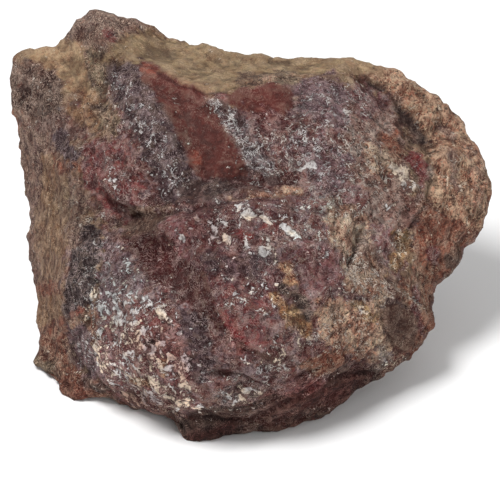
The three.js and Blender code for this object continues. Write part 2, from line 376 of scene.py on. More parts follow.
# Cracks: depth in mm, width, path.
CRACKS = [
    (0.6, 4, [(84, 188), (95, 192), (105, 203), (116, 213), (124, 217)]),
    (0.8, 4, [(21, 105), (25, 97), (30, 90)]),
    (0.7, 3, [(48, 85), (54, 91), (59, 95)]),
    (0.7, 3, [(71, 109), (75, 107), (79, 105)]),
    (0.7, 3, [(89, 106), (97, 105), (105, 109)]),
    (0.8, 5, [(106, 119), (108, 119)]),
    (0.6, 5, [(176, 113), (182, 117)]),
    (0.8, 4, [(213, 376), (240, 377), (258, 385)]),
    (0.8, 4, [(190, 420), (215, 419), (250, 424), (262, 421)]),
    (0.9, 8, [(372, 83), (382, 89)]),
    (1.2, 7, [(394, 100), (404, 114), (416, 130)]),
    (1.0, 5, [(366, 232), (353, 262)]),
    (0.6, 5, [(362, 376), (376, 378)]),
    (0.5, 4, [(118, 158), (126, 162)]),
    (0.5, 3, [(228, 350), (262, 352)]),
    (0.4, 3, [(105, 230), (100, 262), (92, 300)]),
]
# Smoother places: how calm, width, path.
CALM = [
    (1.0, 44, [(158, 84), (186, 118), (212, 155)]),
    (1.0, 34, [(232, 92), (282, 90)]),
    (0.9, 34, [(140, 50), (190, 64), (250, 70), (330, 64)]),
    (0.8, 34, [(30, 54), (62, 64), (90, 76)]),
    (0.7, 44, [(150, 245), (165, 275), (200, 296)]),
    (0.9, 34, [(396, 320), (406, 340)]),
    (0.6, 30, [(130, 214), (165, 212)]),
    (0.5, 60, [(40, 140), (40, 230), (48, 330)]),
    (0.7, 32, [(196, 434), (260, 430), (320, 408), (372, 386)]),
]


def strongest(surface, places):
    """The highest share that any of the (amount, width, path) places gives."""
    share = np.zeros(len(surface.points))
    for amount, width, path in places:
        share = np.maximum(share, amount * surface.near(path, width))
    return share


calm = strongest(surface, CALM)

# Bowls that the fracture left: height in mm, size in mm, seed.
CHIPS = [(1.5, 10, 1), (1.15, 4, 2), (0.6, 2.0, 5)]
# Unevenness over them: height in mm, longest wavelength in mm, octaves, seed.
UNEVEN = [(0.3, 12, 3, 3), (0.4, 1.6, 2, 7)]
SUNK = 1.0  # mm by which the bowls are let into the solid
CALM_LOSS = 0.7  # share of its bowls and unevenness that the calmest place loses
SWAY = 1.0 * MM  # how far the bowls' ridges bend
SWAY_LENGTH = 5 * MM
SWAY_SEEDS = (11, 12, 13)
# The broad bowls of the sides away from the show face.
BROAD_HEIGHT = 3.0  # mm
BROAD_SIZE = 24 * MM
BROAD_SEED = 9
BROAD_SUNK = 0.3  # share of their height by which they are let into the solid


def relief(surface):
    """Height of the fracture relief at each point, in metres."""
    points = surface.points
    sway = [waves(points, SWAY_LENGTH, seed) for seed in SWAY_SEEDS]
    swayed = points + SWAY * np.stack(sway, axis=1)
    height = np.full(len(points), -SUNK)
    for high, size, seed in CHIPS:
        height += high * chipped(swayed, size * MM, seed)
    for high, length, octaves, seed in UNEVEN:
        height += high * rough(points, length * MM, octaves, seed)
    height *= 1 - CALM_LOSS * calm
    broad = chipped(points, BROAD_SIZE, BROAD_SEED) - BROAD_SUNK
    height += BROAD_HEIGHT * broad * (1 - surface.shown)
    for swell, width, path in SWELLS:
        height += swell * surface.around(path, width)
    for drop, reach, path in LEDGES:
        height -= drop * surface.ledge(path, reach)
    for depth, width, path in CRACKS:
        height -= depth * surface.groove(path, width)
    return height * MM


def apply_relief(mesh, surface):
    moved = surface.points + surface.normals * relief(surface)[:, None]
    moved = np.clip(moved, np.array(cad_low), np.array(cad_high))
    mesh.vertices.foreach_set("co", moved.ravel())
    mesh.update()
    mesh.polygons.foreach_set("use_smooth", np.ones(len(mesh.polygons), dtype=bool))


apply_relief(stone.data, surface)

# ---------------------------------------------------------------- hollows


def smoothed(points, edges, rounds):
    """Each point moved to the mean of its neighbours, a number of times."""
    count = np.bincount(edges.ravel(), minlength=len(points))
    for _ in range(rounds):
        total = np.zeros_like(points)
        for axis in range(3):
            total[:, axis] = np.bincount(
                edges.ravel(), weights=points[edges[:, ::-1].ravel(), axis], minlength=len(points)
            )
        points = total / count[:, None]
    return points


def hollowness(mesh, rounds, depth):
    """1 in a hollow of the given depth, 0.5 where it is flat, 0 on a ridge of that height."""
    edges = np.empty(len(mesh.edges) * 2, dtype=np.int32)
    mesh.edges.foreach_get("vertices", edges)
    points = read(mesh, "co")
    sunk = smoothed(points, edges.reshape(-1, 2), rounds) - points
    return 0.5 + 0.5 * np.clip((sunk * read(mesh, "normal")).sum(axis=1) / depth, -1, 1)


# ---------------------------------------------------------------- colour zones

# Each ground: its main tone, the tone that mottles it, how grainy it is, 0 to 1, and how
# warm its pale grains are, from 0 for grey to 1 for cream.
GROUNDS = {
    "oat": ((190, 168, 144), (144, 118, 100), 1.0, 0.6),
    "cinder": ((62, 50, 50), (84, 68, 64), 0.5, 0.2),
    "plum": ((112, 66, 68), (126, 96, 98), 0.8, 0.2),
    "lilac": ((120, 97, 101), (96, 75, 79), 0.8, 0.0),
    "tawny": ((128, 99, 74), (108, 82, 65), 0.6, 0.9),
    "rind": ((139, 119, 91), (128, 110, 87), 0.35, 1.0),
    "saddle": ((154, 130, 101), (138, 114, 90), 0.4, 1.0),
    "olive": ((118, 104, 84), (92, 82, 70), 0.8, 0.8),
    "earth": ((122, 98, 79), (102, 78, 67), 0.5, 0.9),
    "umber": ((124, 100, 88), (100, 78, 74), 0.8, 0.6),
    "horn": ((114, 94, 84), (94, 77, 73), 0.9, 0.6),
    "knob": ((96, 78, 70), (78, 64, 59), 0.9, 0.5),
    "brick": ((85, 45, 40), (77, 40, 36), 0.2, 0.4),
    "ember": ((124, 62, 50), (102, 58, 50), 0.3, 0.6),
    "crimson": ((112, 50, 50), (104, 66, 68), 0.6, 0.3),
    "rose": ((112, 55, 55), (95, 64, 66), 0.7, 0.2),
    "maroon": ((55, 18, 17), (66, 29, 28), 0.5, 0.2),
    "wine": ((80, 37, 38), (94, 70, 74), 0.7, 0.2),
    "mauve": ((104, 64, 62), (122, 102, 104), 0.85, 0.3),
    "taupe": ((132, 105, 97), (150, 134, 126), 0.9, 0.5),
    "dusk": ((47, 31, 34), (74, 60, 64), 0.6, 0.0),
    "slate": ((26, 22, 24), (50, 44, 46), 0.8, 0.1),
    "vein": ((76, 62, 64), (118, 110, 112), 0.9, 0.0),
    "ash": ((166, 152, 148), (104, 86, 86), 1.0, 0.2),
    "pink tan": ((194, 160, 134), (150, 118, 98), 1.0, 1.0),
    "russet": ((138, 85, 67), (104, 66, 56), 0.7, 0.8),
    "rust": ((128, 77, 61), (94, 58, 49), 0.7, 0.8),
    "moss": ((98, 84, 64), (76, 64, 52), 0.8, 0.8),
    "ochre": ((170, 138, 96), (126, 98, 72), 0.9, 1.0),
    "sand": ((222, 190, 160), (154, 122, 104), 1.0, 0.7),
    "soil": ((90, 66, 56), (70, 52, 46), 0.6, 0.6),
    # under: a dark tone painted as the shade of the underside
    "under": ((58, 32, 28), (42, 29, 26), 0.4, 0.4),
    # ink: near-black; along the cracks, the crevice and the keel it is painted shade
    "ink": ((44, 38, 36), (62, 50, 46), 0.6, 0.4),
    "cherry": ((114, 42, 43), (100, 52, 52), 0.5, 0.2),
    "heather": ((100, 72, 66), (88, 68, 64), 0.7, 0.4),
    "blotch": ((116, 70, 72), (140, 114, 115), 0.85, 0.4),
    "chip": ((70, 46, 39), (82, 58, 49), 0.4, 0.6),
    "peach": ((176, 136, 104), (146, 104, 80), 0.9, 1.0),
}


def linear(rgb):
    """Linear colour from the 0 to 255 display values of a tone."""
    share = np.array(rgb) / 255
    return np.where(share <= 0.04045, share / 12.92, ((share + 0.055) / 1.055) ** 2.4)


# Grounds of the show side with clear outlines, painted in this order: ground, soft edge,
# outline.
PATCHES = [
    ("mauve", 8, [(110, 110), (190, 110), (300, 90), (400, 90), (410, 250), (330, 420), (90, 380)]),
    ("taupe", 9, [(350, 110), (400, 110), (420, 200), (400, 260), (340, 270), (330, 200)]),
    # left side
    ("earth", 4, [(16, 110), (70, 124), (80, 182), (66, 250), (60, 290), (62, 318), (34, 344), (20, 240)]),
    ("umber", 6, [(16, 112), (64, 118), (84, 140), (62, 160), (44, 156), (42, 200), (20, 200)]),
    ("russet", 3, [(24, 284), (62, 281), (64, 300), (30, 304)]),
    ("tawny", 5, [(30, 296), (62, 292), (62, 318), (34, 344)]),
    ("heather", 5, [(30, 114), (58, 112), (84, 128), (78, 142), (52, 138), (34, 130)]),
    ("russet", 4, [(50, 152), (68, 158), (88, 158), (84, 172), (60, 174), (50, 164)]),
    # shoulder and horn
    ("horn", 4, [(62, 44), (68, 24), (80, 10), (110, 0), (165, 30), (140, 40), (112, 54), (84, 48)]),
    ("saddle", 3, [(8, 56), (20, 38), (62, 38), (84, 46), (86, 62), (88, 80), (96, 92), (80, 96), (62, 90),
                   (54, 76), (36, 64), (20, 60)]),
    ("olive", 4, [(84, 46), (112, 50), (122, 58), (114, 84), (104, 100), (94, 90), (87, 70)]),
    ("tawny", 4, [(64, 92), (90, 96), (108, 104), (118, 120), (112, 134), (90, 126), (66, 114)]),
    ("olive", 4, [(92, 104), (108, 104), (120, 122), (114, 136), (100, 124)]),
    ("knob", 4, [(6, 64), (32, 62), (54, 70), (64, 86), (60, 104), (44, 118), (22, 116), (6, 96)]),
    # shelf and brick band
    ("rind", 2, [(100, 62), (112, 44), (140, 28), (240, 46), (345, 50), (384, 62), (366, 73), (330, 71),
                 (300, 73), (262, 81), (240, 85), (207, 94), (175, 82), (152, 65), (120, 58)]),
    ("dusk", 4, [(110, 62), (144, 60), (166, 102), (188, 148), (200, 178), (190, 204), (164, 202), (140, 150),
                 (116, 100), (104, 80)]),
    ("brick", 1.5, [(136, 60), (152, 61), (176, 79), (206, 91), (212, 108), (230, 140), (250, 172),
                    (228, 180), (197, 176), (183, 148), (160, 102), (143, 78)]),
    ("brick", 1.5, [(207, 92), (226, 95), (240, 84), (262, 80), (284, 75), (294, 90), (296, 106),
                    (284, 118), (256, 121), (236, 110)]),
    ("wine", 8, [(240, 112), (296, 112), (306, 128), (270, 136), (246, 128)]),
    ("vein", 2, [(203, 97), (216, 98), (236, 108), (250, 126), (276, 168), (268, 177), (250, 170), (230, 132),
                 (216, 112)]),
    ("rose", 2, [(208, 91), (224, 90), (228, 98), (214, 100)]),
    # upper right
    ("lilac", 7, [(292, 80), (330, 76), (350, 88), (352, 124), (340, 130), (316, 122), (300, 108)]),
    ("lilac", 8, [(284, 134), (330, 140), (352, 160), (350, 196), (326, 190), (300, 160)]),
    ("plum", 6, [(352, 78), (376, 88), (384, 104), (372, 122), (356, 112)]),
    ("plum", 6, [(344, 176), (362, 186), (368, 206), (352, 214), (340, 196)]),
    ("russet", 5, [(376, 122), (396, 134), (406, 150), (400, 164), (384, 152)]),
    ("oat", 6, [(366, 140), (384, 150), (396, 170), (384, 180), (366, 168)]),
    ("oat", 7, [(330, 206), (362, 212), (372, 236), (356, 258), (330, 250)]),
    # lobe and valley
    ("rose", 5, [(90, 138), (112, 142), (132, 158), (142, 180), (136, 204), (126, 216), (108, 204), (92, 190),
                 (82, 174), (82, 152)]),
    ("maroon", 4, [(180, 206), (200, 186), (228, 178), (280, 176), (302, 182),
                   (300, 188), (264, 190), (200, 201)]),
    ("cinder", 4, [(176, 202), (182, 184), (200, 178), (232, 180), (238, 188), (214, 196), (194, 204)]),
    ("soil", 5, [(118, 214), (128, 207), (150, 204), (172, 206), (168, 222),
                 (146, 236), (122, 236), (112, 224)]),
    # bulge
    ("wine", 7, [(160, 214), (250, 192), (306, 190), (304, 260), (260, 350), (196, 300), (170, 250)]),
    ("plum", 5, [(164, 214), (184, 212), (192, 240), (184, 262), (168, 252)]),
    ("dusk", 6, [(200, 256), (280, 250), (286, 268), (240, 276), (206, 270)]),
    ("mauve", 6, [(244, 220), (266, 212), (300, 220), (308, 244), (280, 254), (256, 250)]),
    ("plum", 6, [(262, 262), (284, 258), (290, 276), (268, 280)]),
    ("maroon", 3, [(124, 236), (146, 230), (168, 234), (178, 258), (204, 272), (212, 292), (222, 314),
                   (232, 330), (224, 336), (204, 320), (184, 302), (164, 286), (146, 280), (134, 260)]),
    ("slate", 4, [(72, 228), (96, 222), (104, 240), (98, 270), (92, 300), (80, 320), (64, 314), (62, 290)]),
    ("lilac", 4, [(100, 236), (118, 240), (132, 262), (148, 284), (132, 302),
                  (108, 318), (92, 312), (98, 284)]),
    ("dusk", 6, [(178, 306), (204, 320), (216, 350), (206, 384), (186, 376), (176, 340)]),
    ("blotch", 8, [(92, 330), (126, 296), (160, 306), (176, 330), (186, 372),
                   (198, 398), (150, 404), (96, 384)]),
    ("rose", 6, [(214, 284), (240, 284), (270, 300), (272, 322), (240, 318), (218, 308)]),
    ("crimson", 5, [(222, 316), (240, 316), (262, 328), (272, 346), (258, 356), (232, 350)]),
    ("cherry", 3, [(226, 326), (244, 330), (262, 346), (258, 356), (238, 350)]),
    ("plum", 4, [(188, 216), (204, 216), (206, 236), (194, 240)]),
    # lower right
    ("plum", 8, [(302, 240), (340, 250), (346, 290), (326, 310), (306, 290)]),
    ("oat", 5, [(344, 262), (362, 256), (380, 270), (390, 292), (372, 300), (348, 292)]),
    ("sand", 8, [(316, 300), (340, 300), (384, 300), (390, 344), (350, 358), (314, 336)]),
    ("umber", 3, [(362, 238), (378, 252), (396, 276), (414, 294), (404, 300), (384, 282), (366, 262)]),
    ("plum", 5, [(374, 226), (388, 226), (396, 246), (388, 256), (376, 246)]),
    ("pink tan", 2, [(368, 56), (410, 60), (440, 80), (500, 140), (504, 210), (490, 236), (462, 228),
                     (440, 214), (430, 196), (436, 170), (428, 146), (410, 118), (392, 92), (372, 78)]),
    ("umber", 4, [(388, 96), (398, 98), (414, 118), (428, 142), (414, 140), (398, 122)]),
    ("russet", 5, [(424, 204), (444, 212), (470, 230), (490, 230), (474, 260), (446, 288), (424, 306),
                   (408, 282), (418, 244)]),
    ("cherry", 3, [(404, 146), (418, 148), (428, 160), (430, 180), (422, 188), (414, 168)]),
    ("russet", 4, [(396, 284), (420, 296), (440, 284), (438, 330), (420, 348),
                   (412, 342), (422, 326), (410, 306)]),
    ("rose", 3, [(414, 286), (432, 294), (436, 334), (426, 344), (420, 330), (412, 306)]),
    ("rust", 3, [(34, 330), (62, 316), (68, 330), (66, 350), (74, 366), (90, 382), (112, 398), (84, 408),
                   (40, 384), (24, 362)]),
    ("chip", 1.5, [(384, 302), (400, 304), (411, 312), (419, 330), (414, 348), (402, 352), (389, 337),
                   (382, 318)]),
    ("russet", 5, [(322, 346), (346, 344), (360, 360), (346, 384), (328, 384), (318, 366)]),
    # underside: the under and ink grounds are painted shade where the stone turns under; the ash is its pale
    # lens
    ("under", 2, [(182, 424), (200, 410), (216, 407), (236, 409), (262, 397), (300, 395), (318, 391),
                  (327, 382), (334, 371), (350, 363), (372, 366), (384, 375), (404, 361), (440, 334),
                  (440, 360), (350, 420), (280, 450), (180, 450), (170, 430)]),
    ("ink", 3, [(176, 424), (214, 420), (250, 426), (240, 440), (180, 446)]),
    ("ash", 4, [(214, 392), (236, 387), (260, 390), (258, 400), (236, 405), (216, 403)]),
]

# Smaller grounds along a path: ground, width, path.
MARKS = [
    ("umber", 14, [(76, 180), (74, 240)]),
    ("tawny", 12, [(46, 160), (48, 200), (58, 250)]),
    ("umber", 8, [(28, 200), (34, 280)]),
    ("tawny", 10, [(74, 92), (90, 96)]),
    ("crimson", 5, [(70, 107), (80, 106)]),
    ("crimson", 7, [(108, 35), (112, 37)]),
    ("olive", 11, [(240, 81), (268, 77), (294, 76)]),
    ("ember", 8, [(194, 155), (198, 158)]),
    ("ember", 10, [(142, 66), (154, 74)]),
    ("dusk", 16, [(60, 140), (74, 156)]),
    ("crimson", 12, [(86, 180), (102, 204), (122, 214)]),
    ("rose", 26, [(236, 300), (262, 322)]),
    ("rose", 26, [(146, 316), (150, 332)]),
    ("lilac", 20, [(78, 334), (82, 350), (92, 368)]),
    ("ochre", 13, [(402, 238), (402, 252), (394, 264)]),
    ("ochre", 12, [(358, 304), (372, 318)]),
    ("rose", 12, [(432, 250), (436, 262)]),
    ("maroon", 10, [(352, 360), (364, 368)]),
    ("umber", 7, [(452, 152), (458, 190)]),
    ("umber", 7, [(440, 128), (452, 138)]),
    ("saddle", 10, [(350, 62), (380, 72)]),
    ("moss", 13, [(36, 362), (50, 370)]),
    ("ember", 8, [(72, 314), (82, 312)]),
    ("soil", 14, [(452, 258), (462, 262)]),
    ("peach", 12, [(286, 266), (292, 284)]),
    ("ochre", 16, [(290, 312), (306, 330)]),
    ("ochre", 11, [(276, 296), (288, 312)]),
    ("ink", 11, [(284, 287), (296, 294), (308, 314)]),
    ("maroon", 9, [(240, 344), (262, 355), (292, 361)]),
    ("russet", 16, [(306, 365), (326, 374)]),
    ("lilac", 12, [(246, 372), (266, 376)]),
    # a painted highlight along the bulge's upper rim
    ("sand", 2.5, [(228, 197), (250, 192), (300, 188)]),
    ("cherry", 10, [(236, 230), (246, 236)]),
    ("crimson", 10, [(266, 226), (272, 230)]),
    ("russet", 13, [(426, 292), (430, 328)]),
    ("sand", 18, [(474, 148), (480, 200)]),
    # painted shade in the dark gap under the left lump's lip
    ("under", 10, [(84, 384), (104, 392)]),
    ("ink", 7, [(145, 342), (154, 342)]),
    # painted shade in the crack and the crevice
    ("ink", 4, [(372, 83), (382, 88)]),
    ("ink", 8, [(396, 108), (412, 124), (424, 138)]),
    ("peach", 6, [(163, 360), (165, 374)]),
    ("peach", 7, [(133, 380), (150, 384)]),
    # painted shade in the cracks, here and below
    ("ink", 3, [(21, 105), (25, 97), (30, 90)]),
    ("ink", 2.5, [(30, 90), (38, 87)]),
    ("ink", 2.5, [(48, 85), (54, 91), (59, 95)]),
    ("ink", 3, [(70, 108), (74, 107), (79, 104)]),
    ("ink", 2.5, [(89, 106), (97, 105), (105, 109)]),
    ("ink", 2.5, [(106, 119), (107, 119)]),
    ("ink", 2.5, [(123, 163), (127, 158)]),
    ("ink", 2.5, [(366, 234), (360, 246), (354, 262)]),
    ("sand", 1.6, [(368, 252), (384, 270), (400, 287), (424, 312)]),
    ("sand", 1.4, [(372, 262), (380, 276), (386, 292)]),
]

# Broad soft places of the show side that are lighter or darker, redder or greyer than their
# ground: partly the stone's own colour and partly painted light and shade, such as the painted
# shade along the keel and the underside. How much lighter, how much redder, width, path.
TINTS_AND_PAINTED_LIGHT = [
    # left side and shoulder
    (-0.25, 0, 20, [(22, 52)]),
    (-0.3, 0, 26, [(50, 98), (46, 124)]),
    (-0.2, 0, 26, [(98, 71), (122, 52)]),
    (0.25, 0, 20, [(134, 25)]),
    (-0.2, 0.03, 30, [(104, 144), (134, 158)]),
    (-0.2, 0, 26, [(66, 157), (76, 176)]),
    (-0.2, 0, 20, [(101, 209)]),
    (0, -0.06, 30, [(66, 204)]),
    (-0.3, 0, 26, [(80, 219)]),
    (-0.25, 0, 26, [(55, 372)]),
    (-0.35, 0.1, 20, [(66, 388), (82, 394)]),
    # brick band and upper right
    (-0.1, 0.1, 14, [(203, 92), (166, 81)]),
    (0, -0.12, 20, [(186, 138)]),
    (0.35, 0, 20, [(199, 133)]),
    (0.7, 0, 22, [(166, 182)]),
    (0.2, 0, 20, [(206, 171)]),
    (0, 0.12, 26, [(260, 90), (272, 116)]),
    (-0.2, 0, 28, [(308, 98), (284, 122)]),
    (-0.2, 0, 26, [(256, 162)]),
    (0, -0.08, 24, [(327, 201)]),
    (-0.25, 0, 26, [(394, 150), (394, 162)]),
    (-0.25, 0, 20, [(412, 107)]),
    (0.3, 0, 20, [(447, 128)]),
    (0.3, 0, 28, [(457, 181), (457, 192)]),
    # bulge
    (-0.48, 0.08, 30, [(192, 204), (198, 230), (206, 240)]),
    (-0.25, 0, 20, [(214, 193), (220, 196)]),
    (-0.22, 0, 24, [(155, 227), (141, 254)]),
    (0, 0.15, 26, [(158, 255)]),
    (0, -0.08, 36, [(112, 276), (130, 277)]),
    (0.3, -0.06, 22, [(174, 278), (166, 295)]),
    (0, 0.12, 26, [(235, 261)]),
    (-0.2, 0, 20, [(268, 256)]),
    (0.5, -0.12, 28, [(299, 253), (309, 238), (314, 216)]),
    (0.3, 0, 22, [(268, 289), (296, 294)]),
    (0.2, 0, 20, [(176, 315)]),
    (0.45, 0, 18, [(285, 309)]),
    (0.35, -0.1, 24, [(218, 311)]),
    (0, 0.14, 24, [(236, 347)]),
    # left lump and lower edge
    (0, -0.05, 30, [(102, 319)]),
    (0.35, 0, 18, [(75, 343)]),
    (0.42, 0, 26, [(107, 358), (108, 380)]),
    (-0.2, 0.12, 28, [(150, 344), (171, 340), (184, 364)]),
    (-0.3, 0.1, 22, [(128, 400), (150, 406)]),
    (0.75, 0, 22, [(188, 410), (192, 412)]),
    (-0.25, 0, 26, [(234, 376)]),
    (0.35, 0, 20, [(249, 418)]),
    (-0.05, 0.14, 26, [(272, 412), (292, 408), (290, 422)]),
    (0.3, 0, 20, [(318, 386), (316, 412)]),
    (-0.4, 0.2, 24, [(300, 392), (341, 394), (356, 382)]),
    (-0.7, 0.15, 20, [(192, 437), (212, 434), (232, 428)]),
    # lower right
    (0.45, -0.05, 28, [(357, 225), (350, 246)]),
    (0.7, -0.05, 24, [(396, 244)]),
    (-0.25, 0.08, 22, [(407, 218), (412, 216)]),
    (0.3, 0, 30, [(438, 244), (467, 235)]),
    (0.3, -0.1, 26, [(426, 272), (427, 300)]),
    (0.3, 0, 24, [(366, 325)]),
    (-0.15, 0, 20, [(400, 325)]),
    (0.55, -0.1, 24, [(402, 357), (380, 361)]),
]


# Grounds of the sides away from the show face, in painting order: ground, where its noise
# begins and where it is full, the noise's longest wavelength in mm, seed.
HIDDEN_LAYERS = [
    ("earth", -0.15, 0.15, 34, 41),
    ("brick", 0.15, 0.3, 26, 47),
    ("russet", 0.1, 0.35, 19, 57),
    ("rind", 0.2, 0.45, 17, 53),
]
HIDDEN_OCTAVES = 4
HIDDEN_GRAIN = 0.7  # grit and warmth of the sides away from the show face
VEIN_EDGES = (0.015, 0.06)
VEIN_LENGTH = 44 * MM
VEIN_SEED = 61
TOP_RIND = 0.8  # how fully the rind covers what faces up
TOP_FACING = (0.5, 0.85)


def hidden_vein(points):
    """1 in the pale veins that wind through the sides away from the show face."""
    noise = rough(points, VEIN_LENGTH, HIDDEN_OCTAVES, VEIN_SEED)
    return 1 - smoothstep(*VEIN_EDGES, np.abs(noise))


def hidden(surface):
    """Each ground of the sides away from the show face with its share at every point."""
    for name, begin, full, length, seed in HIDDEN_LAYERS:
        noise = rough(surface.points, length * MM, HIDDEN_OCTAVES, seed)
        yield name, smoothstep(begin, full, noise)
    yield "vein", hidden_vein(surface.points)
    yield "rind", TOP_RIND * smoothstep(*TOP_FACING, surface.normals[:, 2])


def painted(surface):
    """Each ground of the show side with its share at every point, in painting order."""
    for name, soft, outline in PATCHES:
        yield name, surface.within(outline, soft)
    for name, width, path in MARKS:
        yield name, surface.mark(path, width)


def paint_grounds(surface):
    """The main tone and the mottling tone at each point, and its grit and warmth."""
    count = len(surface.points)
    tones = [np.tile(linear(tone), (count, 1)) for tone in GROUNDS["mauve"][:2]]
    grain = np.full((count, 2), HIDDEN_GRAIN)
    for name, share in hidden(surface):
        for tone, new in zip(tones, GROUNDS[name][:2]):
            tone += (linear(new) - tone) * share[:, None]
    for name, share in painted(surface):
        for tone, new in zip(tones, GROUNDS[name][:2]):
            tone += (linear(new) - tone) * share[:, None]
        grain += (np.array(GROUNDS[name][2:]) - grain) * share[:, None]
    return tones[0], tones[1], grain


def tint_and_painted_light(surface):
    """What the broad tints, partly painted light and shade, multiply the colour by at each point."""
    total = np.ones((len(surface.points), 3))
    for lighter, redder, width, path in TINTS_AND_PAINTED_LIGHT:
        gain = np.array((lighter + redder, lighter - redder / 2, lighter - redder / 2))
        total *= 1 + gain * surface.near(path, width, edge=1.0)[:, None]
    return total


# Flecks on the show side: how dense, width, path. First the pale threads.
FILAMENTS = [
    (0.8, 34, [(116, 84), (140, 122), (166, 168), (176, 196)]),
    (1.4, 15, [(208, 100), (228, 114), (240, 138), (268, 170)]),
    (0.8, 50, [(304, 98), (352, 104)]),
    (0.85, 70, [(270, 150), (330, 150), (366, 170)]),
    (0.7, 50, [(320, 186), (356, 200)]),
    (0.6, 40, [(108, 168), (118, 186)]),
    (0.6, 60, [(190, 225), (240, 225), (290, 215)]),
    (0.6, 26, [(300, 200), (320, 240)]),
    (0.6, 44, [(88, 226), (84, 300)]),
    (1.2, 14, [(312, 338), (332, 322)]),
    (1.1, 12, [(320, 372), (332, 380)]),
    (1.2, 10, [(262, 374), (288, 366)]),
    (0.8, 14, [(76, 336), (84, 360)]),
    (0.35, 46, [(150, 345), (200, 370)]),
    (1.1, 28, [(352, 266), (368, 276), (382, 294)]),
    (1.1, 12, [(402, 238), (402, 252), (394, 264)]),
    (1.5, 5, [(372, 262), (400, 288), (428, 312)]),
    (1.4, 6, [(358, 262), (354, 290)]),
    (1.4, 6, [(364, 264), (378, 300)]),
    (0.6, 60, [(350, 300), (350, 340)]),
    (0.5, 50, [(330, 220), (364, 250)]),
    (0.5, 70, [(430, 90), (465, 150), (460, 200)]),
    (0.5, 40, [(240, 385), (330, 365)]),
    (0.25, 60, [(250, 410), (340, 395)]),
    (0.4, 40, [(46, 345), (84, 392)]),
    (0.3, 50, [(30, 80), (50, 120)]),
]
# Ragged pale blots.
SPLASHES = [
    (0.93, 92, [(122, 318), (126, 352), (158, 380)]),
    (0.5, 44, [(224, 216), (246, 212), (296, 222)]),
    (0.45, 50, [(224, 244), (250, 244), (290, 242)]),
    (0.5, 50, [(166, 300), (166, 370)]),
    (0.6, 50, [(260, 262), (276, 300)]),
    (0.55, 60, [(350, 310), (384, 346)]),
    (0.4, 70, [(240, 320), (276, 350)]),
    (0.5, 40, [(330, 250), (372, 290)]),
    (0.95, 24, [(182, 402), (200, 412)]),
    (1.15, 12, [(184, 403), (196, 411)]),
    (0.8, 20, [(240, 418), (268, 412)]),
    (1.0, 18, [(222, 397), (254, 394)]),
    (0.9, 12, [(124, 262), (140, 282), (160, 304)]),
    (0.75, 14, [(104, 174), (114, 186)]),
    (0.42, 36, [(180, 224), (206, 244)]),
    # single blots of the upper right
    (1.15, 10, [(298, 167), (304, 165), (314, 163)]),
    (1.1, 15, [(397, 166), (402, 178), (414, 190)]),
    (1.0, 14, [(388, 204), (394, 210)]),
    (1.0, 9, [(368, 102), (369, 103)]),
    # of the bulge
    (1.25, 15, [(240, 206), (248, 214)]),
    (0.95, 10, [(234, 219), (236, 221)]),
    (1.05, 8, [(222, 214), (224, 221)]),
    (1.05, 8, [(196, 214), (198, 217)]),
    (1.05, 9, [(212, 225), (218, 233)]),
    (1.05, 9, [(226, 234), (226, 242)]),
    (0.95, 12, [(208, 237), (211, 241)]),
    (1.05, 8, [(246, 242), (252, 250)]),
    (1.15, 12, [(262, 250), (268, 252)]),
    (1.05, 9, [(262, 217), (274, 221)]),
    (1.1, 10, [(284, 226), (296, 238)]),
    (0.9, 10, [(269, 240), (272, 242)]),
    (1.2, 9, [(264, 286), (265, 287)]),
    (1.1, 7, [(238, 295), (243, 300)]),
    (0.9, 10, [(218, 279), (234, 282)]),
    (1.0, 8, [(174, 232), (178, 237)]),
    (0.95, 8, [(168, 244), (174, 246)]),
    (0.95, 7, [(184, 260), (188, 261)]),
    # of the left side and the lower middle
    (1.1, 9, [(124, 258), (130, 266)]),
    (1.15, 11, [(136, 271), (142, 280)]),
    (1.0, 8, [(168, 270), (171, 278)]),
    (1.0, 7, [(118, 246), (122, 252)]),
    (1.05, 9, [(270, 349), (282, 354)]),
    (1.05, 10, [(244, 360), (258, 364)]),
    (1.1, 9, [(276, 364), (288, 371)]),
    (1.0, 7, [(264, 375), (268, 378)]),
    (1.0, 7, [(300, 341), (302, 349)]),
    (1.0, 7, [(258, 312), (264, 316)]),
    (1.0, 8, [(74, 342), (80, 352)]),
    # of the left lump
    (1.0, 14, [(106, 307), (110, 310)]),
    (1.1, 11, [(150, 305), (158, 311), (167, 320)]),
    (1.1, 8, [(163, 292), (164, 297)]),
    (1.05, 9, [(182, 294), (184, 297)]),
    (1.1, 7, [(135, 334), (135, 350)]),
    (1.1, 9, [(96, 349), (99, 353)]),
    (1.15, 13, [(105, 364), (112, 372), (120, 377)]),
    (1.0, 12, [(138, 366), (142, 370)]),
    (1.15, 13, [(155, 354), (162, 362), (165, 374)]),
    (1.0, 9, [(174, 357), (177, 360)]),
    (1.05, 13, [(187, 385), (192, 390)]),
    (1.05, 10, [(148, 395), (153, 388)]),
]
# Black specks.
SPECKS = [
    (0.9, 46, [(84, 235), (84, 300)]),
    (0.6, 110, [(120, 330), (160, 380)]),
    (0.6, 40, [(300, 296)]),
    (0.7, 80, [(350, 110), (390, 140)]),
    (0.6, 80, [(360, 300), (360, 340)]),
    (0.5, 60, [(430, 100), (460, 160)]),
    (0.4, 60, [(330, 230), (364, 260)]),
]
# Streaks that run up the sides.
STREAKED = [
    (1.0, 64, [(40, 140), (40, 230), (48, 350), (76, 390)]),
    (0.9, 70, [(430, 96), (465, 160), (460, 220)]),
    (0.8, 50, [(376, 262), (404, 292)]),
    (0.5, 40, [(122, 80), (178, 185)]),
    (0.5, 30, [(110, 225), (96, 300)]),
]

CLOUD_LENGTH = 24 * MM
CLOUD_SEED = 51
CLOUD_FULL = 0.5
VEIN_FLECKS = 1.5  # how dense flecks are in the hidden veins
CALM_BARE = 0.85  # share of its flecks that the calmest place lacks
# How dense flecks are sprinkled on the show side, and in the clouds elsewhere.
SPRINKLED = {
    "threads": (0.25, 0.5),
    "splashes": (0.12, 0.45),
    "specks": (0.3, 0.6),
    "streaks": (0.0, 0.8),
}


